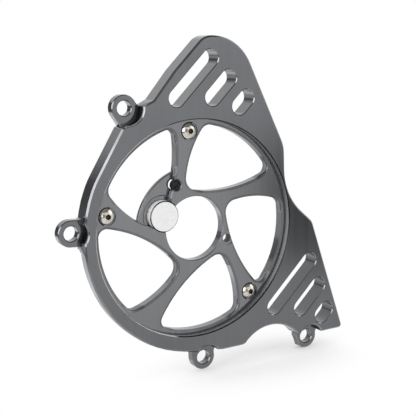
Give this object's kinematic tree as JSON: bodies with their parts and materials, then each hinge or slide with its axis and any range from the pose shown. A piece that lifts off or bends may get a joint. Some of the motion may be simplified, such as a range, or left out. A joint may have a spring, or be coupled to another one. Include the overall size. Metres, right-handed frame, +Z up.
{
  "type": "sprocket cover",
  "caption": "Flat milled sprocket cover with slotted ears, bolt lugs and a swirl-spoke disc screwed into a round recess.",
  "frame": {"origin": "axis of the bottom lug's hole at the back (mounting) face", "axes": "X to the right seen from the front, Z up as fitted, front face towards -Y, bolts leave along -Y"},
  "size_m": [0.1554, 0.0095, 0.1661],
  "materials": {
    "plate": "dark grey anodised, fine milled",
    "disc": "dark grey anodised, fine milled",
    "cap": "satin, bare",
    "plug": "black, moulded",
    "screws": "polished stainless"
  },
  "bodies": {
    "root": {"outer_plate": "plate", "spoke_disc": "disc", "round_cap": "cap", "hole_plug": "plug", "top_screw": "screws", "left_screw": "screws", "lower_screw": "screws"}
  },
  "joints": []
}
